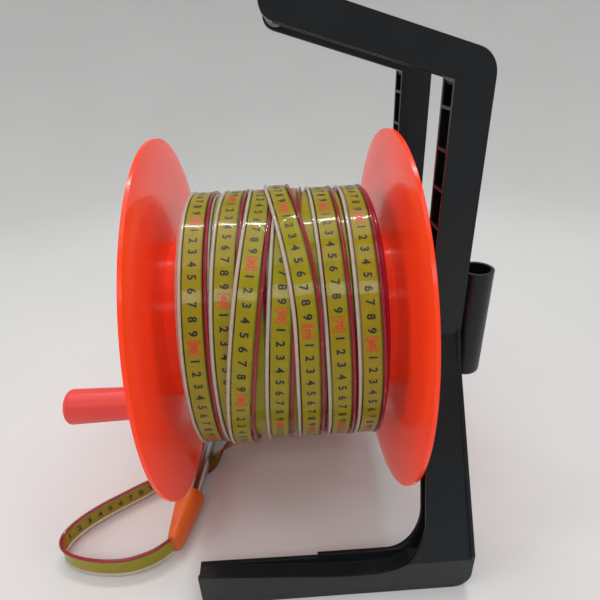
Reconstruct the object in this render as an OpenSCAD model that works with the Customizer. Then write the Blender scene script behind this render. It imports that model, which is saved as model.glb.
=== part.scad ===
// Tape reel on a one-sided stand. Millimetres, +Z up, the reel turns about X.
// The origin is on the floor, under the middle of the object without its free tape.

/* [Reel] */
// Height of the axle above the floor
axle_h = 180; // [176:1:190]
// Outer radius of both flanges
flange_r = 156; // [150:1:160]
// Radius of the drum that the tape is wound on
drum_r = 70; // [66:1:76]
// Outer radius of the wound tape
pack_r = 112; // [90:0.5:114]
// Distance from the middle of the reel to each flange's inner face
half_w = 91; // [88:1:92]
// Radius of the axle
axle_r = 8; // [6:0.5:9]

/* [Stand] */
// Depth of each post from front to back
post_d = 23; // [18:1:24]
// Middle of each post, measured from the reel's middle plane
post_y = 65; // [64:1:68]
// Wall thickness of the moulded channels
wall = 3; // [2.5:0.1:3.5]
// Height of the bend where each post becomes a leg
bend_z = 195; // [190:1:200]
// Rise of the carrying arms
arm_rise = 17.4; // [14:0.2:20]
// Length of the carrying arms
arm_l = 130; // [120:1:140]

/* [Tape] */
// Width of the tape
tape_w = 21; // [16:0.5:22]
// Thickness of the tape in its clear jacket
tape_t = 3; // [2:0.1:3.2]

/* [Crank] */
// Distance of the crank knob from the axle
crank_r = 118; // [100:1:124]
// Radius of the crank knob at its outer end
knob_r = 12.2; // [11:0.2:15]

/* [Hidden] */
$fn = 64;

black = "#23272b";
red = "#e8401f";
steel = "#b9bcc0";

// Stand, in the part's frame
reel_x = -6;
post_x0 = 106;
post_x1 = 131;
corner_r = 17;
arm_d = 20.5;
arm_mid = 6.75;
grip_screw_us = [arm_l - 6.05, arm_l - 14.45];
corner_x = post_x1 - corner_r;
corner_z = 376;
post_in = post_y - post_d / 2;
post_out = post_y + post_d / 2;
leg_x0 = 96;
foot_d = 16;
foot_out = 155.5;
foot_in = foot_out - foot_d;
foot_x0 = -82;
foot_x1 = 135;
foot_r = 15;
foot_top = 34;
front_lean = 0.49;
rear_lean = 0.52;
leg_tilt = 26.5;
rib_t = 2;
bolt_x = 116;
bolt_zs = [214, 240];
bolt_r = 3;
holder_x = 144;
holder_y = -60;
holder_r = 13;
holder_bore_r = 10.5;
holder_z0 = 150;
holder_z1 = 242;
holder_screw_y = -66;
holder_screw_zs = [208, 236];

// Reel, along X from the middle of the reel
flange_t = 3;
flat_r = flange_r - 24;
flare_d = 2;
flare_rs = [for (i = [0:6]) flat_r + 4 * i];
hub_r = 16;
hub_end = half_w + 7.9;
hub_start = -40;
bush_l = 12;
bush_r = 12;
screw_ring = 61;
opening_r = 46;
panel_r = 52;
pack_x0 = -74;
pack_x1 = 77;
boss_x0 = hub_end + 2.1;
boss_x1 = boss_x0 + 21;
tray_x = -56;

// Crank, along X from the middle of the reel
knob_x0 = -100.3;
knob_x1 = -147;
knob_end = -151;
spindle_end = -142.2;
spindle_r = 5;

// Rocker switch on the hub panel
rocker_z = 26;
rocker_x = -95.5;
rocker_tilt = 8;

// Free end of the tape: place of its middle and how far it has rolled onto its edge
tail = [
  [-40, 41.5, 72.8, 0], [-41, 28, 68.5, 0], [-44, 19, 59, 25], [-49, 13, 45, 50],
  [-56, 9, 32, 65], [-65, 6, 22, 66], [-76, 1.5, 14, 52], [-87, -4, 6.4, 20],
  [-96, -9.5, 2.3, 1], [-103, -14, 1.8, 0], [-110, -18, 2.1, 1], [-118, -23, 3.8, 10],
  [-129, -30, 8.6, 42], [-141, -38, 10.9, 76], [-153, -46, 11, 90], [-168, -55.5, 11, 90],
  [-184, -66, 11, 90], [-198, -77.5, 11, 90], [-208, -89.5, 11, 90], [-211.5, -100, 11, 90],
  [-208.5, -109, 11, 90], [-200, -116, 11, 90], [-186, -121.5, 11, 90], [-168, -125, 11, 90],
  [-150, -125.5, 11, 90], [-134, -122, 11.5, 90], [-123, -117, 12, 90], [-114, -110, 12.5, 90]];

// Probe, from the boot backwards
probe_start = [-104.6, -59, 13.6];
probe_turn = -6;
probe_r = 9;
probe_l = 119;
boot_r = 13.2;

// ---------------------------------------------------------------- helpers

// Puts a piece drawn about the axle in its place.
module at_reel() {
  translate([reel_x, 0, axle_h]) children();
}

// Turns a shape drawn up +Z so that it runs along +X.
module along_x() {
  rotate([0, 90, 0]) children();
}

// Turns a shape drawn up +Z so that it runs along +Y.
module along_y() {
  rotate([-90, 0, 0]) children();
}

// Extrudes an outline drawn in X and Z from y0 to y1.
module slab_y(y0, y1) {
  translate([0, y1, 0]) rotate([90, 0, 0]) linear_extrude(y1 - y0) children();
}

// Extrudes an outline drawn in Y and Z from x0 to x1.
module slab_x(x0, x1) {
  translate([x0, 0, 0]) rotate([90, 0, 90]) linear_extrude(x1 - x0) children();
}

// A disc or ring along X from x0 to x1.
module ring(x0, x1, r, hole = 0) {
  translate([x0, 0, 0]) along_x() difference() {
    cylinder(r = r, h = x1 - x0);
    if (hole > 0) translate([0, 0, -1]) cylinder(r = hole, h = x1 - x0 + 2);
  }
}

// Copies a piece n times round the axle at radius r.
module around(n, r, start = 0) {
  for (i = [0:n - 1]) rotate([start + i * 360 / n, 0, 0]) translate([0, r, 0]) children();
}

// Rounds the inside corner at p, between edges that leave it at angles a and b.
module corner_fillet(p, a, b, r) {
  half = (b - a) / 2;
  run = r / tan(half);
  mid = p + r / sin(half) * [cos(a + half), sin(a + half)];
  difference() {
    polygon([p, p + run * [cos(a), sin(a)], mid, p + run * [cos(b), sin(b)]]);
    translate(mid) circle(r);
  }
}

// A screw along +X with its head ending at x = 0.
module screw(r, length, head_r, head_h) {
  translate([-head_h, 0, 0]) along_x() cylinder(r = head_r, h = head_h);
  along_x() cylinder(r = r, h = length);
}

// ---------------------------------------------------------------- stand

// Post and arm seen from the front; inset is the wall that a pocket leaves.
module post_and_arm(inset = 0) {
  open = inset > 0 ? 2 : 0;
  low = inset > 0 ? bend_z : bend_z - 8;
  translate([post_x0 - open, low]) square([post_x1 - post_x0 - inset + open, corner_z - low]);
  translate([corner_x, corner_z]) intersection() {
    circle(corner_r - inset);
    translate([post_x0 - corner_x - open, -2]) square(2 * corner_r);
  }
  translate([corner_x, corner_z]) rotate(180 - arm_rise) mirror([0, 1]) {
    translate([0, corner_r - arm_d - open])
      square([arm_l - arm_d / 2, arm_d - inset + open]);
    translate([arm_l - arm_d / 2, corner_r - arm_d / 2]) circle(arm_d / 2 - inset);
  }
}

function arm_point(u, v) = [
  corner_x - u * cos(arm_rise) + v * sin(arm_rise),
  corner_z + u * sin(arm_rise) + v * cos(arm_rise)];

// Where the arm's underside meets the post's inner edge.
under_v = corner_r - arm_d;
under_u = (corner_x - post_x0 + under_v * sin(arm_rise)) / cos(arm_rise);

// Leans a wall drawn at y = 0, so that it stands at y_low where the foot ends.
module lean(y_low, slope) {
  multmatrix([[1, 0, 0, 0], [0, 1, slope, y_low - slope * foot_top], [0, 0, 1, 0]])
    children();
}

// One wall of the leg, seen from the front.
module leg_side() {
  polygon([
    [leg_x0, foot_top], [foot_x1, foot_top], [foot_x1, foot_top + 4], [post_x1, bend_z - 20],
    [post_x1, bend_z + 4], [post_x0, bend_z + 4]]);
}

// The rounding between a leg and its foot, above or below the height where the leg leans.
module leg_fillet(z, r, above) {
  intersection() {
    corner_fillet([leg_x0, z], 86.5, 180, r);
    translate([foot_x0, above ? foot_top : 0]) square([200, above ? 100 : foot_top]);
  }
}

module leg() {
  lean(-foot_out, front_lean) slab_y(0, wall) {
    leg_side();
    leg_fillet(24, 45, true);
  }
  lean(-foot_in, rear_lean) slab_y(-wall, 0) {
    leg_side();
    leg_fillet(foot_top, 30, true);
  }
  // The outer web that joins the two walls.
  hull() {
    translate([foot_x1 - wall, -foot_out, foot_top]) cube([wall, foot_d, 4]);
    translate([post_x1 - wall, -foot_out + front_lean * (bend_z - 20 - foot_top), bend_z - 20])
      cube([wall, post_d - 1.5, 0.1]);
  }
  translate([post_x1 - wall, -post_out - 1, bend_z - 20.5]) lean_top();
}

// The outer web's top, up to the bend.
module lean_top() {
  hull() {
    translate([0, -front_lean * 19, 0]) cube([wall, post_d - 0.5, 0.5]);
    translate([0, 1, 20.5]) cube([wall, post_d, 4]);
  }
}

// One long wall of the foot: its top falls from left to mid and steps to right at x.
module foot_wall(left, mid, right, x) {
  polygon([
    [foot_x0, 0], [leg_x0 + 5, 0], [leg_x0 + 5, right], [x, right], [x, mid],
    [foot_x0, left]]);
}

// The rounded end of the foot, and the hollow inside it.
module foot_end(inset = 0) {
  open = inset > 0 ? 1 : 0;
  translate([leg_x0 - open, inset])
    square([foot_x1 - foot_r - leg_x0 + open, foot_top - inset + open]);
  translate([leg_x0 - open, foot_r])
    square([foot_x1 - inset - leg_x0 + open, foot_top - foot_r + open]);
  translate([foot_x1 - foot_r, foot_r]) circle(foot_r - inset);
}

module foot() {
  slab_y(-foot_out, -foot_out + wall) {
    foot_wall(35, 24, 24, 30);
    leg_fillet(24, 45, false);
  }
  slab_y(-foot_in - wall, -foot_in) foot_wall(32, 30.5, foot_top, 12);
  // The filling between the walls.
  slab_y(-foot_out + 1, -foot_in - 1) {
    foot_wall(31.5, 22.5, 22.5, 30);
    leg_fillet(22.5, 44, false);
  }
  difference() {
    slab_y(-foot_out, -foot_in) foot_end();
    slab_y(-foot_out + wall, -foot_in - wall) foot_end(wall);
  }
}

module front_frame_solid() {
  difference() {
    union() {
      slab_y(-post_out, -post_in) post_and_arm();
      leg();
      foot();
    }
    slab_y(-post_out + wall, -post_in - wall) post_and_arm(wall);
    for (z = bolt_zs) translate([bolt_x, -post_in - 10, z]) along_y()
      cylinder(r = bolt_r + 0.1, h = 20);
    grip_holes();
  }
  slab_y(-post_out + 0.2, -post_in - 0.2)
    corner_fillet(arm_point(under_u, under_v) + [0.9, 0.9], 180 - arm_rise, 270, 6);
  // Cross ribs and the long rib in the post, then the crossed ribs in the leg.
  for (z = [201, 227, 253, 279, 305, 331, 357])
    translate([post_x0, -post_out + 1, z]) cube([post_x1 - post_x0 - 1, post_d - 2, rib_t]);
  translate([post_x0 + 8, -post_y + 2.7, bend_z - 2])
    cube([post_x1 - post_x0 - 9, 1.6, corner_z - bend_z]);
  for (z = [-140:32:-44], tilt = [-20, 20])
    translate([0, -post_y, bend_z]) rotate([-leg_tilt, 0, 0])
      translate([post_x0 - 2, 0, z]) rotate([tilt, 0, 0])
        translate([0, -0.8, -16]) cube([post_x1 - post_x0 + 1, 1.6, 32]);
}

module grip_holes() {
  for (u = grip_screw_us) {
    p = arm_point(u, arm_mid);
    translate([p[0], -post_in - 10, p[1]]) along_y() cylinder(r = 2.6, h = 20);
  }
}

module front_side_frame() {
  color(black) difference() {
    front_frame_solid();
    for (z = holder_screw_zs) translate([post_x1 - 5, holder_screw_y, z]) along_x()
      cylinder(r = 1.6, h = 8);
  }
}

module rear_side_frame() {
  color(black) mirror([0, 1, 0]) front_frame_solid();
}

// Bearing plate bolted between the posts, with the boss that holds the axle.
module hub_plate() {
  lift = axle_h;
  color(black) difference() {
    union() {
      slab_x(106, 112) {
        polygon([
          [-post_in, 252], [post_in, 252], [post_in, 200], [35.8, lift - 30],
          [-35.8, lift - 30], [-post_in, 200]]);
        translate([0, lift - 30]) circle(36);
      }
      for (side = [-1, 1])
        translate([106, side > 0 ? post_in - 6 : -post_in, 200]) cube([22, 6, 52]);
      at_reel() ring(boss_x0, boss_x1, 22);
      for (a = [20, 90, 160, 270]) at_reel() rotate([a, 0, 0])
        translate([112 - reel_x - 1, 10, -1.5]) cube([5, 42, 3]);
    }
    at_reel() translate([90, 0, 0]) along_x() cylinder(r = axle_r, h = 60);
    for (z = bolt_zs, side = [-1, 1]) translate([bolt_x, side * post_in - 8, z]) along_y()
      cylinder(r = bolt_r + 0.1, h = 16);
  }
}

module hub_bolts() {
  color(steel) for (z = bolt_zs, side = [-1, 1]) mirror([0, side > 0 ? 1 : 0, 0])
    translate([bolt_x, -post_in - wall, z]) rotate([0, 0, 90]) screw(bolt_r, 13, 5, 3);
}

// Round bar between the two arms.
module carry_grip() {
  p = arm_point(arm_l - arm_d / 2, arm_mid);
  color(black) difference() {
    translate([p[0], 0, p[1]]) along_y() rotate_extrude()
      polygon([
        [0, -post_in], [7.6, -post_in], [7.6, -post_in + 3], [8.6, -post_in + 8],
        [8.6, post_in - 8], [7.6, post_in - 3], [7.6, post_in], [0, post_in]]);
    for (side = [-1, 1], u = grip_screw_us) {
      q = arm_point(u, arm_mid);
      translate([q[0], side * post_in - 12, q[1]]) along_y() cylinder(r = 2.1, h = 24);
    }
  }
}

module grip_screws() {
  color(steel) for (side = [0, 1], u = grip_screw_us) {
    q = arm_point(u, arm_mid);
    mirror([0, side, 0]) translate([q[0], -post_in - wall, q[1]]) rotate([0, 0, 90])
      screw(2, 14, 2.9, 2.5);
  }
}

// Open tube on the outer face of the front post, where the probe is kept.
module probe_holder() {
  color(black) difference() {
    union() {
      translate([holder_x, holder_y, 0]) rotate_extrude() {
        translate([0, holder_z0]) square([holder_r - 4, holder_z1 - holder_z0]);
        translate([0, holder_z0 + 4]) square([holder_r, holder_z1 - holder_z0 - 4]);
        translate([holder_r - 4, holder_z0 + 4]) circle(4);
      }
      translate([post_x1, holder_y - 9, 160]) cube([8, 18, 79]);
    }
    translate([holder_x, holder_y, holder_z0 + 5]) cylinder(r = holder_bore_r, h = 100);
    translate([post_x1 - 20, holder_y - 40, 100]) cube([20, 80, 200]);
    // The leg below the bend is a little wider than the post.
    translate([post_x1 - 1, holder_y - 40, 100]) cube([1.8, 80, 100]);
    for (z = holder_screw_zs) translate([post_x1 - 5, holder_screw_y, z]) along_x()
      cylinder(r = 1.5, h = 8.4);
  }
}

module holder_screws() {
  color(steel) for (z = holder_screw_zs) translate([post_x1 - wall, holder_screw_y, z])
    screw(1.45, 6.2, 2.6, 2);
}

// ---------------------------------------------------------------- axle

module axle() {
  color(steel) at_reel() difference() {
    ring(hub_start - 0.4, boss_x1 + 12, axle_r);
    translate([hub_start - 1, 0, 0]) along_x() cylinder(r = 3, h = 20);
  }
}

module axle_nut() {
  color(steel) at_reel() difference() {
    translate([boss_x1 + 2, 0, 0]) along_x() cylinder(r = 13.8, h = 8, $fn = 6);
    translate([boss_x1, 0, 0]) along_x() cylinder(r = axle_r, h = 12);
  }
}

module axle_washer() {
  color(steel) at_reel() ring(boss_x1, boss_x1 + 2, 15, axle_r + 0.1);
}

module thrust_washer() {
  color("#e9e4d6") at_reel() ring(hub_end + 0.3, boss_x0, 15, axle_r + 0.1);
}

module retaining_washer() {
  color(steel) at_reel() ring(hub_start - 2.4, hub_start - 0.4, 14, 3.1);
}

module axle_bolt() {
  color(steel) at_reel() {
    translate([hub_start - 6.9, 0, 0]) along_x() cylinder(r = 6, h = 4.5, $fn = 6);
    ring(hub_start - 2.6, hub_start + 14, 2.95);
  }
}

module bush(x) {
  color("#b98a4a") at_reel() ring(x, x + bush_l, bush_r, axle_r + 0.05);
}

module bush_left() {
  bush(hub_start);
}

module bush_right() {
  bush(hub_end - bush_l);
}

// ---------------------------------------------------------------- reel

module reel_drum() {
  color(red) at_reel() difference() {
    union() {
      ring(-half_w, half_w, drum_r, drum_r - 4);
      ring(hub_start, hub_end, hub_r);
      for (x = [hub_start, 24, half_w - wall]) ring(x, x + wall, drum_r - 2);
      around(6, screw_ring) {
        ring(-half_w + 0.5, -half_w + 16, 6);
        ring(half_w - 16, half_w - 0.5, 6);
      }
    }
    ring(hub_start - 1, hub_start + bush_l, bush_r);
    ring(hub_end - bush_l, hub_end + 1, bush_r);
    ring(hub_start, hub_end, axle_r + 2);
    around(6, 41, 30) ring(hub_start - 5, half_w + 5, 13);
    around(6, screw_ring) {
      ring(-half_w - 1, -half_w + 13, 2);
      ring(half_w - 13, half_w + 1, 2);
    }
    translate([-13, -2, 60]) cube([26, 4, 20]);
    for (x = [-9, 9]) translate([x, 8, 55]) cylinder(r = 1.5, h = 13);
  }
}

// How far the flange has bent outward at radius r.
function flare(r) = flare_d * pow(max(0, (r - flat_r) / (flange_r - flat_r)), 2);

module flange(hole) {
  difference() {
    along_x() rotate_extrude() {
      polygon(concat(
        [[hole, half_w + flange_t], [hole, half_w]],
        [for (r = flare_rs) [r, half_w + flare(r)]],
        [for (i = [len(flare_rs) - 1:-1:0]) let (r = flare_rs[i])
          [r, half_w + flange_t + flare(r)]]));
    }
    around(6, screw_ring) ring(half_w - 1, half_w + 5, 2.1);
  }
}

module right_flange() {
  color(red) at_reel() flange(hub_r + 1);
}

module left_flange() {
  color(red) at_reel() difference() {
    union() {
      mirror([1, 0, 0]) flange(opening_r);
      translate([0, -crank_r, 0]) ring(-half_w - 9, -half_w - 2, 16);
    }
    translate([0, -crank_r, 0]) ring(-half_w - 12, -half_w - 1, spindle_r);
    around(4, 49, 45) ring(-half_w - 5, -half_w + 1, 1.25);
  }
}

module flange_screws() {
  color(steel) at_reel() for (side = [0, 1]) mirror([side, 0, 0])
    around(6, screw_ring) translate([half_w + flange_t, 0, 0]) mirror([1, 0, 0])
      screw(1.95, 14, 3.8, 2.4);
}

module wound_tape() {
  color("#c8c22a") at_reel() ring(pack_x0, pack_x1, pack_r, drum_r);
}

module tape_anchor() {
  color(steel) at_reel() difference() {
    translate([-15, 3, 59]) cube([30, 11, 4]);
    for (x = [-9, 9]) translate([x, 8, 50]) cylinder(r = 1.5, h = 20);
  }
}

module anchor_screws() {
  color(steel) at_reel() for (x = [-9, 9]) translate([x, 8, 59]) rotate([0, -90, 0])
    screw(1.4, 8.5, 2.8, 2);
}

// ---------------------------------------------------------------- crank

module at_crank() {
  at_reel() translate([0, -crank_r, 0]) children();
}

module crank_spindle() {
  color(steel) at_crank() difference() {
    ring(spindle_end, -half_w - 1, spindle_r);
    ring(spindle_end - 1, spindle_end + 14, 2);
  }
}

module crank_knob() {
  color("#e0453a") at_crank() difference() {
    translate([knob_x1, 0, 0]) along_x() rotate_extrude()
      polygon([
        [0, 0], [knob_r, 0], [knob_r - 1, knob_x0 - knob_x1 - 1],
        [knob_r - 2, knob_x0 - knob_x1], [0, knob_x0 - knob_x1]]);
    ring(knob_x1 - 1, knob_x0 + 1, spindle_r + 0.05);
    ring(knob_x1 - 1, spindle_end + 1.2, 9);
  }
}

module knob_screw() {
  color(steel) at_crank() translate([spindle_end, 0, 0]) screw(1.95, 13, 7, 2.6);
}

module knob_cap() {
  color("#e0453a") at_crank() {
    translate([knob_x1, 0, 0]) rotate([0, -90, 0]) rotate_extrude() {
      square([knob_r - 4, knob_x1 - knob_end]);
      intersection() {
        translate([knob_r - 4, 0]) circle(4);
        square([knob_r, 4]);
      }
    }
    ring(knob_x1 - 0.5, knob_x1 + 1.4, 8.95);
  }
}

// ---------------------------------------------------------------- electronics in the hub

panel_x = -half_w - flange_t;

module hub_panel() {
  color("#2b2e33") at_reel() difference() {
    union() {
      ring(panel_x - wall, panel_x, panel_r);
      ring(panel_x - 0.5, panel_x + 4, opening_r - 0.2, opening_r - 3.2);
    }
    translate([panel_x - 5, -7, rocker_z - 11]) cube([10, 14, 22]);
    translate([0, 0, -24]) ring(panel_x - 5, panel_x + 1, 3.3);
    translate([0, -26, 6]) ring(panel_x - 5, panel_x + 1, 2.6);
    translate([0, 26, 0]) around(6, 5) ring(panel_x - 5, panel_x + 1, 1.2);
    around(4, 49, 45) ring(panel_x - 5, panel_x + 1, 1.3);
  }
}

module panel_screws() {
  color(steel) at_reel() around(4, 49, 45) translate([panel_x - wall, 0, 0])
    screw(1.2, 5.5, 2.4, 1.6);
}

module switch_housing() {
  color("#17191c") at_reel() translate([0, 0, rocker_z]) difference() {
    union() {
      translate([panel_x - 4.5, -8.5, -12.5]) cube([1.5, 17, 25]);
      translate([panel_x - 3.5, -6.9, -10.9]) cube([14, 13.8, 21.8]);
    }
    translate([panel_x - 6, -5.4, -9.6]) cube([13, 10.8, 19.2]);
    translate([rocker_x, -7.5, 0]) along_y() cylinder(r = 1, h = 15);
  }
}

module power_rocker() {
  color("#c9281e") at_reel() translate([rocker_x, 0, rocker_z]) rotate([0, -rocker_tilt, 0])
    difference() {
      translate([-2.5, -5.1, -9]) cube([5, 10.2, 18]);
      translate([0, -8, 0]) along_y() cylinder(r = 1.05, h = 16);
    }
}

module rocker_pin() {
  color(steel) at_reel() translate([rocker_x, -6.6, rocker_z]) along_y()
    cylinder(r = 1, h = 13.2);
}

module sensitivity_pot() {
  color("#5a5d60") at_reel() translate([0, 0, -24]) ring(panel_x, panel_x + 8, 8, 3.05);
}

module sensitivity_knob() {
  color("#17191c") at_reel() translate([0, 0, -24]) {
    ring(panel_x - wall - 0.4, panel_x + 7, 3);
    difference() {
      ring(panel_x - wall - 11, panel_x - wall - 0.4, 9);
      around(12, 9.6) ring(panel_x - wall - 12, panel_x - wall - 2, 1.1);
    }
  }
}

module indicator_lamp() {
  color("#d03020") at_reel() translate([0, -26, 6]) {
    ring(panel_x - wall - 2, panel_x + 5, 2.5);
    ring(panel_x, panel_x + 1.2, 3.4);
  }
}

module buzzer() {
  color("#17191c") at_reel() translate([0, 26, 0]) difference() {
    ring(panel_x, panel_x + 8, 11);
    ring(panel_x - 1, panel_x + 2, 2);
  }
}

module circuit_board() {
  color("#1f6b3a") at_reel() difference() {
    ring(-78, -76.4, 40);
    around(3, 34, 90) ring(-80, -75, 1.6);
  }
}

// Plate across the inside of the drum, with posts for the board and a pocket for the battery.
module battery_tray() {
  color("#2b2e33") at_reel() {
    difference() {
      ring(tray_x, tray_x + wall, drum_r - 4.1);
      ring(tray_x - 1, tray_x + 5, 12);
    }
    around(3, 34, 90) ring(-76.4, tray_x + 1, 3.2);
    around(3, 34, 90) ring(-78, -76, 1.5);
    for (y = [-26.5, 24.5]) translate([-72, y, -10]) cube([17, 2, 20]);
  }
}

module battery() {
  color("#7a7d80") at_reel() translate([-72.5, -24.2, -13]) cube([16.5, 48.4, 26]);
}

// ---------------------------------------------------------------- free tape, boot and probe

function unit(v) = v / norm(v);
function heading(i) = unit([for (k = [0:2])
  tail[min(i + 1, len(tail) - 1)][k] - tail[max(i - 1, 0)][k]]);

// The tape's outline: half width, half thickness, with its corners cut.
tape_ring = [for (c = [[1, 0.4], [0.93, 1], [-0.93, 1], [-1, 0.4],
                       [-1, -0.4], [-0.93, -1], [0.93, -1], [1, -0.4]])
  [c[0] * tape_w / 2, c[1] * tape_t / 2]];

// Across the tape at point i: level at roll 0, upright at roll 90.
function across(i) = let (t = heading(i), side = unit([-t[1], t[0], 0]), up = cross(t, side))
  side * cos(tail[i][3]) - up * sin(tail[i][3]) * (up[2] < 0 ? 1 : -1);

module tape_tail() {
  n = len(tape_ring);
  last = len(tail) - 1;
  points = [for (i = [0:last], c = tape_ring) let (w = across(i), face = cross(w, heading(i)))
    [for (k = [0:2]) tail[i][k]] + c[0] * w + c[1] * face];
  sides = [for (i = [0:last - 1], j = [0:n - 1])
    let (k = (j + 1) % n, a = i * n + j, b = i * n + k, c = a + n, d = b + n)
      each [[a, b, d], [a, d, c]]];
  color("#c8c22a") polyhedron(
    points,
    concat([[for (j = [n - 1:-1:0]) j]], sides, [[for (j = [0:n - 1]) last * n + j]]));
}

module tail_boot() {
  color("#d4602a") hull() {
    translate(probe_start) rotate([0, 0, probe_turn]) along_y()
      translate([0, 0, -7]) cylinder(r = boot_r, h = 7, $fn = 32);
    for (z = [8, 18]) translate([-111.5, -110, z]) along_y() cylinder(r = 6.5, h = 6, $fn = 24);
  }
}

module at_probe(along = 0) {
  translate(probe_start) rotate([0, 0, probe_turn]) translate([0, along, 0]) along_y() children();
}

module probe_body() {
  color(steel) at_probe() difference() {
    cylinder(r = probe_r, h = probe_l);
    translate([0, 0, 3]) cylinder(r = probe_r - 1.4, h = probe_l);
  }
}

module probe_insulator() {
  color("#e9e4d6") at_probe(probe_l - 8) difference() {
    union() {
      cylinder(r = probe_r - 1.4, h = 10);
      translate([0, 0, 8]) cylinder(r = probe_r, h = 6);
    }
    translate([0, 0, -1]) cylinder(r = 2.5, h = 20);
  }
}

module probe_electrode() {
  color(steel) at_probe(probe_l - 6) {
    cylinder(r = 2.5, h = 16);
    translate([0, 0, 12]) cylinder(r1 = 7, r2 = 2.5, h = 8);
  }
}

front_side_frame();
rear_side_frame();
hub_plate();
hub_bolts();
carry_grip();
grip_screws();
probe_holder();
holder_screws();
axle();
axle_nut();
axle_washer();
thrust_washer();
retaining_washer();
axle_bolt();
bush_left();
bush_right();
reel_drum();
left_flange();
right_flange();
flange_screws();
wound_tape();
tape_anchor();
anchor_screws();
crank_spindle();
crank_knob();
knob_screw();
knob_cap();
hub_panel();
panel_screws();
switch_housing();
power_rocker();
rocker_pin();
sensitivity_pot();
sensitivity_knob();
indicator_lamp();
buzzer();
circuit_board();
battery();
battery_tray();
tape_tail();
tail_boot();
probe_body();
probe_insulator();
probe_electrode();
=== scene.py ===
"""Looks of the tape reel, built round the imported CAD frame. Metres, +Z up."""
import math

import bpy
from mathutils import Matrix, Vector


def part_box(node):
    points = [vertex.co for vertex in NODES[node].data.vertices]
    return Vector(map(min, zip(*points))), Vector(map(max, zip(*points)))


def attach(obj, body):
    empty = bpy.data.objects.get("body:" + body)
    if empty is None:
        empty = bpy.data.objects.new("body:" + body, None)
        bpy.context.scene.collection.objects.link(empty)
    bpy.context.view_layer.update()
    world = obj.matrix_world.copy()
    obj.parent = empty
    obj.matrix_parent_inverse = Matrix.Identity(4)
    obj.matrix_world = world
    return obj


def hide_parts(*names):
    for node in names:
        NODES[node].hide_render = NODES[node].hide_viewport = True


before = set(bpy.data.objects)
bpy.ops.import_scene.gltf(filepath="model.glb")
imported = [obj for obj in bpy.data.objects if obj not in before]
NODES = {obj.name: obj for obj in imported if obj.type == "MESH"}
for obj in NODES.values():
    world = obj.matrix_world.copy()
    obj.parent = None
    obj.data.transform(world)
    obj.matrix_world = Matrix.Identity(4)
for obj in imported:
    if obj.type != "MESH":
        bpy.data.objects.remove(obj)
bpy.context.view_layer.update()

MM = 0.001
SCENE = bpy.context.scene


# ---------------------------------------------------------------- camera
CAMERA_PLACE = (-0.0018, -0.3822, 0.3942)
# To the right, down and round the line of sight, in radians.
YAW = 0.0326
PITCH = 0.4877
ROLL = -0.0402
# In millimetres, as Blender wants them.
LENS = 28.4
SENSOR_WIDTH = 36


def add_camera():
    ahead = Vector((
        math.sin(YAW) * math.cos(PITCH),
        math.cos(YAW) * math.cos(PITCH),
        -math.sin(PITCH)))
    level = Vector((math.cos(YAW), -math.sin(YAW), 0))
    upright = level.cross(ahead)
    right = math.cos(ROLL) * level + math.sin(ROLL) * upright
    up = math.cos(ROLL) * upright - math.sin(ROLL) * level
    data = bpy.data.cameras.new("camera")
    data.lens = LENS
    data.sensor_width = SENSOR_WIDTH
    data.clip_start = 0.01
    camera = bpy.data.objects.new("camera", data)
    placed = Matrix((right, up, -ahead)).transposed().to_4x4()
    placed.translation = CAMERA_PLACE
    camera.matrix_world = placed
    SCENE.collection.objects.link(camera)
    SCENE.camera = camera


add_camera()


# ---------------------------------------------------------------- materials
def tint(code):
    """A linear colour from a code such as e8401f."""
    parts = [int(code[i:i + 2], 16) / 255 for i in (0, 2, 4)]
    return [p / 12.92 if p <= 0.04045 else ((p + 0.055) / 1.055) ** 2.4 for p in parts]


def shade(colour, by):
    return [min(1, c * by) for c in colour] + [1]


def material(name, code, rough, spread=0.08, blotch=60, grain=900, bump=0.04,
             rough_spread=0.08, stretch=(1, 1, 1), edge=0, **sockets):
    """A Principled material whose colour, roughness and bump vary over the surface."""
    made = bpy.data.materials.new(name)
    made.use_nodes = True
    nodes, links = made.node_tree.nodes, made.node_tree.links
    main = nodes["Principled BSDF"]
    place = nodes.new("ShaderNodeTexCoord")
    turn = nodes.new("ShaderNodeMapping")
    turn.inputs["Scale"].default_value = stretch
    links.new(place.outputs["Object"], turn.inputs["Vector"])
    wide = nodes.new("ShaderNodeTexNoise")
    wide.inputs["Scale"].default_value = blotch
    wide.inputs["Detail"].default_value = 5
    fine = nodes.new("ShaderNodeTexNoise")
    fine.inputs["Scale"].default_value = grain
    fine.inputs["Detail"].default_value = 3
    for texture in (wide, fine):
        links.new(turn.outputs["Vector"], texture.inputs["Vector"])
    ramp = nodes.new("ShaderNodeValToRGB")
    ramp.color_ramp.elements[0].position = 0.3
    ramp.color_ramp.elements[1].position = 0.7
    ramp.color_ramp.elements[0].color = shade(tint(code), 1 - spread)
    ramp.color_ramp.elements[1].color = shade(tint(code), 1 + spread)
    links.new(wide.outputs["Fac"], ramp.inputs["Fac"])
    links.new(ramp.outputs["Color"], main.inputs["Base Color"])
    span = nodes.new("ShaderNodeMapRange")
    span.inputs["To Min"].default_value = max(0.01, rough - rough_spread)
    span.inputs["To Max"].default_value = min(1, rough + rough_spread)
    links.new(wide.outputs["Fac"], span.inputs["Value"])
    links.new(span.outputs["Result"], main.inputs["Roughness"])
    relief = nodes.new("ShaderNodeBump")
    relief.inputs["Strength"].default_value = bump
    relief.inputs["Distance"].default_value = 0.3 * MM
    links.new(fine.outputs["Fac"], relief.inputs["Height"])
    if edge:
        soft = nodes.new("ShaderNodeBevel")
        soft.samples = 4
        soft.inputs["Radius"].default_value = edge
        links.new(soft.outputs["Normal"], relief.inputs["Normal"])
    links.new(relief.outputs["Normal"], main.inputs["Normal"])
    for socket, value in sockets.items():
        main.inputs[socket.replace("_", " ")].default_value = value
    return made


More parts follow.
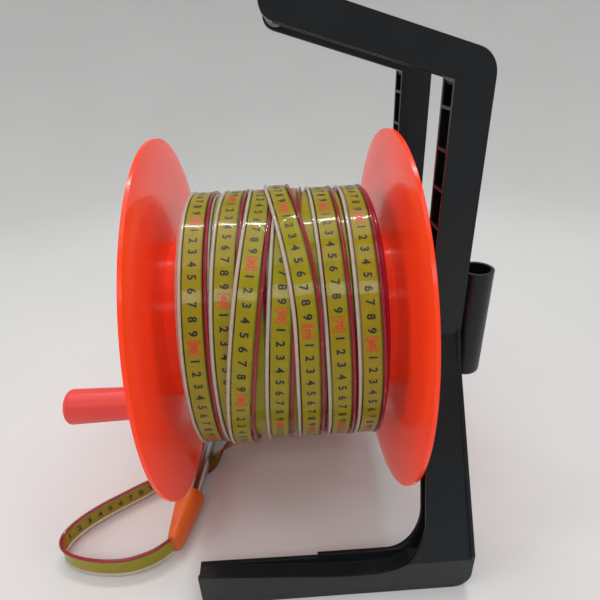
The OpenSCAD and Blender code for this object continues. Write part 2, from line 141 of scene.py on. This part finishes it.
# The red plastic glows faintly red of itself (emission), though it is no lamp: painted light.
RED = material("red_plastic", "ff3f1a", 0.2, spread=0.04, blotch=25, grain=300, bump=0.03,
               rough_spread=0.05, edge=0.8 * MM, Subsurface_Weight=0.12,
               Subsurface_Scale=0.004, Specular_IOR_Level=0.3, Coat_Weight=0.1,
               Coat_Roughness=0.06, Emission_Strength=0.12)
red_inputs = RED.node_tree.nodes["Principled BSDF"].inputs
# The colour of the painted red glow.
red_inputs["Emission Color"].default_value = (1, 0.06, 0.02, 1)
red_inputs["Subsurface Radius"].default_value = (1, 0.3, 0.1)
BLACK = material("black_plastic", "0e1317", 0.34, spread=0.18, blotch=45, grain=1400,
                 bump=0.10, rough_spread=0.09, edge=0.8 * MM, Specular_IOR_Level=0.35)
GRIP = material("grip_plastic", "1d2023", 0.5, spread=0.14, blotch=70, grain=1100,
                bump=0.2, edge=0.6 * MM)
KNOB = material("knob_plastic", "e2453f", 0.38, spread=0.07, blotch=50, grain=700,
                bump=0.08, edge=0.6 * MM, Subsurface_Weight=0.1, Subsurface_Scale=0.003)
PANEL = material("panel_plastic", "26292d", 0.44, spread=0.12, grain=1800, bump=0.16,
                 edge=0.3 * MM)
DARK = material("dark_plastic", "15171a", 0.34, spread=0.15, grain=1500, bump=0.08,
                edge=0.3 * MM)
ROCKER = material("rocker_plastic", "c5261c", 0.25, spread=0.08, grain=900, edge=0.5 * MM)
LAMP = material("lamp_lens", "d83222", 0.1, spread=0.1, grain=500, bump=0.02,
                Transmission_Weight=0.5, IOR=1.49)
BOARD = material("board_green", "1f6b3a", 0.4, spread=0.25, blotch=350, grain=1200, bump=0.1)
CELL = material("battery_case", "70747a", 0.3, spread=0.1, stretch=(1, 1, 6), Metallic=0.6)
WHITE = material("white_plastic", "e6e1d3", 0.4, spread=0.05, bump=0.05)
BRONZE = material("bronze", "b0813f", 0.35, spread=0.2, blotch=400, grain=2500, bump=0.12,
                  Metallic=1.0)
STEEL = material("steel", "b9bcc0", 0.27, spread=0.12, blotch=160, grain=1500, bump=0.06,
                 stretch=(1, 0.05, 1), edge=0.2 * MM, Metallic=1.0)
TUBE = material("probe_steel", "c2c4c6", 0.2, spread=0.1, blotch=120, grain=900, bump=0.05,
                stretch=(1, 0.04, 1), Metallic=1.0)
BOOT = material("boot_rubber", "dd5f1c", 0.42, spread=0.08, blotch=90, grain=1300, bump=0.1,
                Subsurface_Weight=0.08, Subsurface_Scale=0.002)
BAND = material("tape_yellow", "9c8f08", 0.35, spread=0.08, blotch=120, grain=900, bump=0.03,
                Specular_IOR_Level=0.1, Coat_Weight=0.4, Coat_Roughness=0.02)
# Painted shade: the buried layers of tape take a darker olive copy of the yellow band.
SHADED_UNDER_TAPE = material("tape_lower_painted_shade", "7d7424", 0.35, spread=0.2, blotch=90, Coat_Weight=0.4)
CREAM = material("wire_cream", "c2b9a8", 0.25, spread=0.06, blotch=200, grain=800,
                 Specular_IOR_Level=0.3, Coat_Weight=0.4, Coat_Roughness=0.04)
CRIMSON = material("wire_red", "94122c", 0.25, spread=0.08, blotch=200, grain=800,
                   Specular_IOR_Level=0.3, Coat_Weight=0.4, Coat_Roughness=0.04)
INK = material("ink_black", "060604", 0.4, spread=0.2, blotch=900)
RED_INK = material("ink_red", "d8361a", 0.4, spread=0.15, blotch=900)
JACKET = material("clear_jacket", "6f6a3a", 0.05, spread=0.05, blotch=60, grain=400,
                  bump=0.03, rough_spread=0.02, Alpha=0.07, Specular_IOR_Level=0.9)

CAD_LOOKS = {
    RED: ["reel_drum", "left_flange", "right_flange"],
    BLACK: ["front_side_frame", "rear_side_frame", "hub_plate", "probe_holder"],
    GRIP: ["carry_grip"],
    KNOB: ["crank_knob", "knob_cap"],
    PANEL: ["hub_panel", "battery_tray"],
    DARK: ["switch_housing", "sensitivity_knob", "buzzer", "sensitivity_pot"],
    ROCKER: ["power_rocker"],
    LAMP: ["indicator_lamp"],
    BOARD: ["circuit_board"],
    CELL: ["battery"],
    WHITE: ["thrust_washer", "probe_insulator"],
    BRONZE: ["bush_left", "bush_right"],
    STEEL: [
        "hub_bolts", "grip_screws", "holder_screws", "axle", "axle_nut", "axle_washer",
        "retaining_washer", "axle_bolt", "flange_screws", "tape_anchor", "anchor_screws",
        "crank_spindle", "knob_screw", "panel_screws", "rocker_pin"],
    TUBE: ["probe_body", "probe_electrode"],
    BAND: ["wound_tape", "tape_tail"],
    BOOT: ["tail_boot"],
}
for look, names in CAD_LOOKS.items():
    for name in names:
        NODES[name].data.materials.clear()
        NODES[name].data.materials.append(look)


# ---------------------------------------------------------------- mesh helpers
# Edges sharper than this many degrees stay sharp when a piece is shaded smooth.
SHARP_FROM = 40


class Shape:
    """Collects points and faces, and becomes one piece."""

    def __init__(self, looks):
        self.looks = looks
        self.points = []
        self.faces = []
        self.indices = []

    def add(self, points, faces, look):
        base = len(self.points)
        self.points += [tuple(p) for p in points]
        self.faces += [[base + i for i in face] for face in faces]
        self.indices += [self.looks.index(look)] * len(faces)

    def piece(self, name, body):
        mesh = bpy.data.meshes.new(name)
        mesh.from_pydata(self.points, [], self.faces)
        for look in self.looks:
            mesh.materials.append(look)
        mesh.polygons.foreach_set("material_index", self.indices)
        mesh.update()
        mesh.shade_smooth()
        mesh.set_sharp_from_angle(angle=math.radians(SHARP_FROM))
        made = bpy.data.objects.new(name, mesh)
        SCENE.collection.objects.link(made)
        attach(made, body)
        return made


def tube_faces(rows, count, closed):
    """Joins rows of count points into a tube: a closed ring, or with an end face at each end."""
    faces = []
    for row in range(rows if closed else rows - 1):
        after = (row + 1) % rows
        for k in range(count):
            far = (k + 1) % count
            faces.append([row * count + k, row * count + far,
                          after * count + far, after * count + k])
    if not closed:
        faces.append(list(range(count))[::-1])
        faces.append([(rows - 1) * count + k for k in range(count)])
    return faces


def sweep(shape, place, stations, outline, look, closed):
    """Carries a closed outline of (across, height) along the stations of place."""
    points = [place(across, along, height) for along in stations for across, height in outline]
    shape.add(points, tube_faces(len(stations), len(outline), closed), look)


def cubic(before, here, after, beyond, t):
    """A smooth value between here and after."""
    rise = (after - before) / 2
    fall = (beyond - here) / 2
    return (here * (2 * t ** 3 - 3 * t * t + 1) + rise * (t ** 3 - 2 * t * t + t)
            + after * (3 * t * t - 2 * t ** 3) + fall * (t ** 3 - t * t))


# ---------------------------------------------------------------- the tape's make-up
# Across the tape the red edge is at plus, and height 0 is its under side.
HALF = 10.8 * MM
THICK = 3.0 * MM
WIRE_R = 1.35 * MM
WIRE_AT = 9.2 * MM
BAND_HALF = 6.8 * MM
BAND_LOW = 1.2 * MM
BAND_TOP = 1.75 * MM
PRINT_H = 1.85 * MM
CM = 10 * MM


def round_outline(centre, radius, count=8):
    return [(centre + radius * math.cos(a), THICK / 2 + radius * math.sin(a))
            for a in [2 * math.pi * k / count for k in range(count)]]


WIRES = [(round_outline(-WIRE_AT, WIRE_R), CREAM), (round_outline(WIRE_AT, WIRE_R), CRIMSON)]
BAND_OUTLINE = [(-BAND_HALF, BAND_LOW), (BAND_HALF, BAND_LOW),
                (BAND_HALF, BAND_TOP), (-BAND_HALF, BAND_TOP)]
# The clear jacket round the band and both wires, in millimetres.
SKIN = [(10.8, 1.0), (10.8, 2.0), (10.3, 2.75), (9.2, 3.0), (8.0, 2.85), (7.1, 2.35),
        (-7.1, 2.35), (-8.0, 2.85), (-9.2, 3.0), (-10.3, 2.75), (-10.8, 2.0), (-10.8, 1.0),
        (-10.3, 0.25), (-9.2, 0), (-8.0, 0.15), (-7.1, 0.65), (7.1, 0.65), (8.0, 0.15),
        (9.2, 0), (10.3, 0.25)]
SKIN_OUTLINE = [(across * MM, height * MM) for across, height in SKIN]


def sweep_band(shape, place, stations, closed):
    """The yellow band and the two wires at its edges."""
    sweep(shape, place, stations, BAND_OUTLINE, BAND, closed)
    for outline, look in WIRES:
        sweep(shape, place, stations, outline, look, closed)


DIGIT_SIZE = 8.4 * MM
DIGIT_BOLD = 0.28 * MM
TENS_SIZE = 7.6 * MM
TENS_BOLD = 0.32 * MM
BOX_HALF_X = 5.5 * MM
BOX_HALF_Y = 4.4 * MM
BOX_LINE = 0.8 * MM
# Beside the red edge: a long mark at the centimetre, a middling one at the half, short ones.
LONG_MARK = 1.7 * MM
HALF_MARK = 1.2 * MM
SHORT_MARK = 0.8 * MM
MARK_HALF_WIDTH = 0.12 * MM


def glyph(words, size, bold):
    """A flat mesh of generic numerals, centred on the origin."""
    data = bpy.data.curves.new("glyph", "FONT")
    data.body = words
    data.size = size
    data.offset = bold
    data.resolution_u = 3
    made = bpy.data.objects.new("glyph", data)
    SCENE.collection.objects.link(made)
    mesh = made.to_mesh()
    points = [(v.co.x, v.co.y) for v in mesh.vertices]
    faces = [list(p.vertices) for p in mesh.polygons]
    made.to_mesh_clear()
    bpy.data.objects.remove(made)
    bpy.data.curves.remove(data)
    mid = [(min(p[k] for p in points) + max(p[k] for p in points)) / 2 for k in (0, 1)]
    return [(x - mid[0], y - mid[1]) for x, y in points], faces


DIGITS = {str(d): glyph(str(d), DIGIT_SIZE, DIGIT_BOLD) for d in range(1, 10)}
TENS = {str(d): glyph(str(d), TENS_SIZE, TENS_BOLD) for d in range(10, 100, 10)}
TENS["1m"] = glyph("1m", TENS_SIZE, TENS_BOLD)


def bar(x0, y0, x1, y1):
    return [(x0, y0), (x1, y0), (x1, y1), (x0, y1)], [[0, 1, 2, 3]]


def frame_of(half_x, half_y, line):
    """The thin box round a numeral, as four bars."""
    return [
        bar(-half_x, half_y - line, half_x, half_y),
        bar(-half_x, -half_y, half_x, line - half_y),
        bar(-half_x, -half_y, line - half_x, half_y),
        bar(half_x - line, -half_y, half_x, half_y)]


BOX = frame_of(BOX_HALF_X, BOX_HALF_Y, BOX_LINE)


def print_at(shape, place, along, value, way):
    """Prints one centimetre, 0 to 99: its numeral and the small marks beside the red edge."""
    def put(pattern, look, shift=0.0):
        points, faces = pattern
        shape.add([place(y, along + way * (x + shift), PRINT_H) for x, y in points], faces, look)

    if value % 10:
        put(DIGITS[str(value % 10)], INK)
    else:
        put(TENS[str(value) if value else "1m"], RED_INK)
        for side in BOX:
            put(side, RED_INK)
    for step in range(10):
        long = {0: LONG_MARK, 5: HALF_MARK}.get(step, SHORT_MARK)
        mark = bar(-MARK_HALF_WIDTH, BAND_HALF - long, MARK_HALF_WIDTH, BAND_HALF)
        put(mark, INK, step * MM)


# ---------------------------------------------------------------- free end of the tape
# The middle of the tape in millimetres and its roll in degrees, as in the CAD part.
ROUTE = [
    (-40, 41.5, 72.8, 0), (-41, 28, 68.5, 0), (-44, 19, 59, 25), (-49, 13, 45, 50),
    (-56, 9, 32, 65), (-65, 6, 22, 66), (-76, 1.5, 14, 52), (-87, -4, 6.4, 20),
    (-96, -9.5, 2.3, 1), (-103, -14, 1.8, 0), (-110, -18, 2.1, 1), (-118, -23, 3.8, 10),
    (-129, -30, 8.6, 42), (-141, -38, 10.9, 76), (-153, -46, 11, 90), (-168, -55.5, 11, 90),
    (-184, -66, 11, 90), (-198, -77.5, 11, 90), (-208, -89.5, 11, 90), (-211.5, -100, 11, 90),
    (-208.5, -109, 11, 90), (-200, -116, 11, 90), (-186, -121.5, 11, 90),
    (-168, -125, 11, 90), (-150, -125.5, 11, 90), (-134, -122, 11.5, 90),
    (-123, -117, 12, 90), (-114, -110, 12.5, 90)]
# Places laid down between one row of the route and the next.
STEPS = 5
# The print of the free end: how far its zero is from the route's end, and its centimetres.
ZERO_FROM_END = 110 * MM
FREE_CENTIMETRES = range(-9, 25)


def route_rows():
    """Places along the free end: middle, heading, across and distance from the reel."""
    last = len(ROUTE) - 1
    dense = []
    for i in range(last):
        near = [ROUTE[max(i - 1, 0)], ROUTE[i], ROUTE[i + 1], ROUTE[min(i + 2, last)]]
        for step in range(STEPS):
            dense.append([cubic(*[p[k] for p in near], step / STEPS) for k in range(4)])
    dense.append(list(ROUTE[last]))
    rows, travelled = [], 0.0
    for i, row in enumerate(dense):
        here = Vector(row[:3]) * MM
        if i:
            travelled += (here - rows[-1][0]).length
        ahead = Vector(dense[min(i + 1, len(dense) - 1)][:3]) - Vector(dense[max(i - 1, 0)][:3])
        ahead.normalize()
        side = Vector((-ahead.y, ahead.x, 0)).normalized()
        up = ahead.cross(side)
        roll = math.radians(row[3])
        rows.append((here, ahead, side * math.cos(roll) + up * math.sin(roll), travelled))
    return rows


TAIL_ROWS = route_rows()
TAIL_L = TAIL_ROWS[-1][3]


def place_tail(across, along, height):
    """A point of the free end; height is measured towards the printed face."""
    i = 0
    while i < len(TAIL_ROWS) - 2 and TAIL_ROWS[i + 1][3] < along:
        i += 1
    a, b = TAIL_ROWS[i], TAIL_ROWS[i + 1]
    t = (along - a[3]) / (b[3] - a[3])
    middle, ahead, toward = [a[k].lerp(b[k], t) for k in range(3)]
    toward.normalize()
    face = toward.cross(ahead).normalized()
    return middle + toward * across + face * (height - THICK / 2)


def free_end():
    """The stretch of tape between the reel and the boot, with its print."""
    shape = Shape([JACKET, BAND, CREAM, CRIMSON, INK, RED_INK])
    stations = [row[3] for row in TAIL_ROWS]
    sweep_band(shape, place_tail, stations, False)
    sweep(shape, place_tail, stations, SKIN_OUTLINE, JACKET, False)
    for value in FREE_CENTIMETRES:
        along = TAIL_L - ZERO_FROM_END - value * CM
        print_at(shape, place_tail, along, value % 100, -1)
    made = shape.piece("tape_free_end", "stand")
    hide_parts("tape_tail")
    return made


def boot():
    """The soft boot that joins the flat tape to the round probe."""
    start = Vector((-104.6, -59, 13.6)) * MM
    tip = Vector((-111.5, -104, 12.8)) * MM
    # How far from start to tip, and half the width and height there in millimetres.
    rows = [(0.0, 11.4, 11.4), (0.0, 12.4, 12.4), (0.012, 13.0, 13.0), (0.03, 13.2, 13.2),
            (0.13, 13.2, 13.2), (0.16, 12.7, 12.8), (0.2, 12.5, 12.7), (0.35, 11.6, 12.6),
            (0.55, 10.2, 12.5), (0.75, 8.8, 12.3), (0.9, 7.7, 12.1), (1.0, 7.0, 11.8),
            (1.05, 6.4, 11.3), (1.09, 5.2, 10.3), (1.115, 3.6, 8.8), (1.125, 2.0, 7.2)]
    sides = 40
    squarer = 0.12
    ahead = (tip - start).normalized()
    level = Vector((-ahead.y, ahead.x, 0)).normalized()
    points = []
    for t, half_w, half_h in rows:
        middle = start.lerp(tip, t)
        power = 1 - squarer * min(t, 1)
        for k in range(sides):
            a = 2 * math.pi * k / sides
            wide = math.copysign(abs(math.cos(a)) ** power, math.cos(a)) * half_w * MM
            tall = math.copysign(abs(math.sin(a)) ** power, math.sin(a)) * half_h * MM
            points.append(middle + level * wide + Vector((0, 0, tall)))
    shape = Shape([BOOT])
    shape.add(points, tube_faces(len(rows), sides, False), BOOT)
    made = shape.piece("boot_skin", "stand")
    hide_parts("tail_boot")
    return made


tail_piece = free_end()
boot_piece = boot()

# ---------------------------------------------------------------- wound tape
pack_low, pack_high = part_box("wound_tape")
AXLE_Z = (pack_low.z + pack_high.z) / 2
PACK_R = (pack_high.z - pack_low.z) / 2
# The middle of the reel is this far from the left side of the winding.
LEFT_HALF = 74 * MM
MID_X = pack_low.x + LEFT_HALF
UNDER_R = PACK_R - THICK

# How each turn of the outer layer crosses the front of the reel, in millimetres and degrees:
# its middle along the axle before and after, and the angles where the crossing starts and
# ends. The top of the reel is at 90 degrees and the front at 180.
TURNS = [
    (-60.4, -61.4, 110, 180), (-32.5, -40.6, 60, 180), (-11.5, -36, 85, 215),
    (13.5, -6.3, 50, 215), (0.5, 18.5, 75, 160), (36, 43, 60, 240), (62, 65.2, 130, 230)]
# Every turn goes back to where it began over this stretch behind the reel.
RETURN_START = 245
RETURN_END = 410
# For each turn: the angle of one of its tens and the number printed there.
MARKS = [(161.9, 80), (145.6, 40), (132.5, 30), (152.1, 50), (158.2, 0), (156.4, 70),
         (164.5, 60)]
# The print covers these degrees of each turn.
PRINT_START = -28
PRINT_END = 328
# Where two turns meet, the one that comes later here lies on top. It climbs over this
# width, and its rise is evened out over these degrees to both sides.
LOWEST_FIRST = [1, 3, 0, 6, 2, 5, 4]
CLIMB_WIDTH = 5 * MM
AVERAGED = range(-4, 5)
# The layer below: its first turn's middle and how far apart its turns are, in millimetres.
LOWER_FIRST = -62
LOWER_APART = 21.17
STATIONS = 180


def smooth(t):
    t = max(0.0, min(1.0, t))
    return t * t * (3 - 2 * t)


def middle_of(turn, angle):
    """The turn's middle along the axle at an angle in degrees."""
    before, after, start, end = turn
    first = RETURN_END - 360
    angle = (angle - first) % 360 + first
    there = smooth((angle - start) / (end - start))
    back = smooth((angle - RETURN_START) / (RETURN_END - RETURN_START))
    return (before + (after - before) * (there - back)) * MM


# How far each turn is lifted by the turns under it, for every degree round the reel.
LIFTS = {}
for order, index in enumerate(LOWEST_FIRST):
    row = []
    for step in range(360):
        lift = 0.0
        for other in LOWEST_FIRST[:order]:
            apart = abs(middle_of(TURNS[index], step) - middle_of(TURNS[other], step))
            over = smooth((2 * HALF - apart) / CLIMB_WIDTH)
            lift = max(lift, over * (LIFTS[other][step] + THICK))
        row.append(lift)
    LIFTS[index] = [
        sum(row[(step + d) % 360] for d in AVERAGED) / len(AVERAGED) for step in range(360)]


def turn_placer(turn, lifts, inner_r):
    """Gives the function that lays a point of the tape on the winding."""
    def place(across, along, height):
        angle = math.degrees(along / PACK_R)
        slope = (middle_of(turn, angle + 1) - middle_of(turn, angle - 1)) / (
            PACK_R * math.radians(2))
        tilt = math.atan(slope)
        step = angle % 360
        low = int(step)
        lift = lifts[low % 360] * (1 - step + low) + lifts[(low + 1) % 360] * (step - low)
        x = MID_X + middle_of(turn, angle) + across * math.cos(tilt)
        a = math.radians(angle) - across * math.sin(tilt) / PACK_R
        r = inner_r + lift + height
        return Vector((x, r * math.cos(a), AXLE_Z + r * math.sin(a)))
    return place


def wind():
    """The two outer layers of tape, with the print on the top one."""
    turns = Shape([BAND, CREAM, CRIMSON])
    skin = Shape([JACKET])
    ink = Shape([INK, RED_INK])
    round_stations = [2 * math.pi * PACK_R * k / STATIONS for k in range(STATIONS)]
    for index, turn in enumerate(TURNS):
        place = turn_placer(turn, LIFTS[index], UNDER_R)
        sweep_band(turns, place, round_stations, True)
        sweep(skin, place, round_stations, SKIN_OUTLINE, JACKET, True)
        mark, number = MARKS[index]
        step = math.degrees(CM / PACK_R)
        first = math.ceil((PRINT_START - mark) / step)
        last = math.floor((PRINT_END - mark) / step)
        for k in range(first, last + 1):
            along = math.radians(mark + k * step) * PACK_R
            print_at(ink, place, along, (number + k) % 100, 1)
    flat = [0.0] * 360
    for k in range(len(TURNS)):
        middle = LOWER_FIRST + LOWER_APART * k
        # The same middle before and after, so where it crosses makes no difference.
        turn = (middle, middle, 90, 180)
        sweep_band(turns, turn_placer(turn, flat, UNDER_R - THICK), round_stations, True)
    turns.piece("tape_turns", "reel")
    skin.piece("tape_turns_jacket", "reel")
    ink.piece("tape_turns_print", "reel")


def wound_core():
    """The layers under the top ones, one rounded edge for each at both sides."""
    inner = 70 * MM
    outer = UNDER_R - THICK
    layers = 11
    parts = (0.0, 0.12, 0.35, 0.65, 0.88)
    round_by = 1.4 * MM
    shoulder = 2.4 * MM
    sides = 128
    deep = (outer - inner) / layers
    left, right = pack_low.x, pack_high.x
    profile = []
    for k in range(layers):
        for part in parts:
            bulge = math.sin(math.pi * part) * round_by
            profile.append((left + round_by - bulge, inner + (k + part) * deep, CREAM))
    # The outer face of the buried layers is coloured with the darker olive, as painted shade.
    profile.append((left + shoulder, outer, SHADED_UNDER_TAPE))
    profile.append((right - shoulder, outer, CRIMSON))
    for k in range(layers)[::-1]:
        for part in parts[::-1]:
            bulge = math.sin(math.pi * part) * round_by
            profile.append((right - round_by + bulge, inner + (k + part) * deep, CRIMSON))
    # The face from the last point back to the first lies on the drum, and takes the same painted
    # shade.
    profile[-1] = (profile[-1][0], profile[-1][1], SHADED_UNDER_TAPE)
    points = []
    for k in range(sides):
        a = 2 * math.pi * k / sides
        points += [(x, r * math.cos(a), AXLE_Z + r * math.sin(a)) for x, r, look in profile]
    shape = Shape([SHADED_UNDER_TAPE, CREAM, CRIMSON])
    shape.points = points
    shape.faces = tube_faces(sides, len(profile), True)
    shape.indices = [shape.looks.index(look) for x, r, look in profile] * sides
    made = shape.piece("tape_core", "reel")
    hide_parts("wound_tape")


wind()
wound_core()


# ---------------------------------------------------------------- stage and light
def add_stage():
    """A wide floor that rises all round in one smooth bowl."""
    floor = material("floor", "d8d8d7", 0.26, spread=0.02, blotch=3, grain=200, bump=0.02,
                     rough_spread=0.02, Specular_IOR_Level=0.5)
    flat, bowl, steps = 1.2, 1.2, 12
    sides = 96
    rows = [(0.0, 0.0), (flat / 2, 0.0), (flat, 0.0)]
    for k in range(1, steps + 1):
        a = math.pi / 2 * k / steps
        rows.append((flat + bowl * math.sin(a), bowl - bowl * math.cos(a)))
    rows.append((2.45, 2.4))
    points, faces = [], []
    for r, z in rows:
        for k in range(sides):
            a = 2 * math.pi * k / sides
            points.append((r * math.cos(a), r * math.sin(a), z))
    for row in range(len(rows) - 1):
        for k in range(sides):
            far = (k + 1) % sides
            faces.append([row * sides + k, (row + 1) * sides + k,
                          (row + 1) * sides + far, row * sides + far])
    mesh = bpy.data.meshes.new("floor")
    mesh.from_pydata(points, [], faces)
    mesh.materials.append(floor)
    mesh.shade_smooth()
    made = bpy.data.objects.new("floor", mesh)
    SCENE.collection.objects.link(made)


def add_light(name, place, target, size_x, size_y, power, mirrored=True):
    """A soft lamp aimed at target; one that isn't mirrored leaves no glint."""
    data = bpy.data.lights.new(name, "AREA")
    data.shape = "RECTANGLE"
    data.size = size_x
    data.size_y = size_y
    data.energy = power
    made = bpy.data.objects.new(name, data)
    made.location = place
    aim = Vector(target) - Vector(place)
    made.rotation_euler = aim.to_track_quat("-Z", "Y").to_euler()
    made.visible_glossy = mirrored
    SCENE.collection.objects.link(made)


def add_world():
    world = bpy.data.worlds.new("world")
    world.use_nodes = True
    back = world.node_tree.nodes["Background"]
    back.inputs["Color"].default_value = (0.34, 0.34, 0.345, 1)
    back.inputs["Strength"].default_value = 1.0
    SCENE.world = world


add_stage()
add_world()
add_light("overhead", (0, 0.1, 1.9), (0, 0.1, 0), 2.0, 1.5, 13)
add_light("strip_back", (0.0, 0.55, 1.6), (0, 0, 0.2), 1.3, 0.035, 8)
add_light("haze_front", (0.0, -1.2, 1.4), (0, 0, 0.2), 1.3, 0.3, 5)
add_light("left_fill", (-1.5, -0.5, 0.75), (0, 0, 0.2), 0.9, 0.9, 8, False)
add_light("right_fill", (1.5, -0.5, 0.75), (0, 0, 0.2), 0.9, 0.9, 6, False)
SCENE.view_settings.view_transform = "Standard"
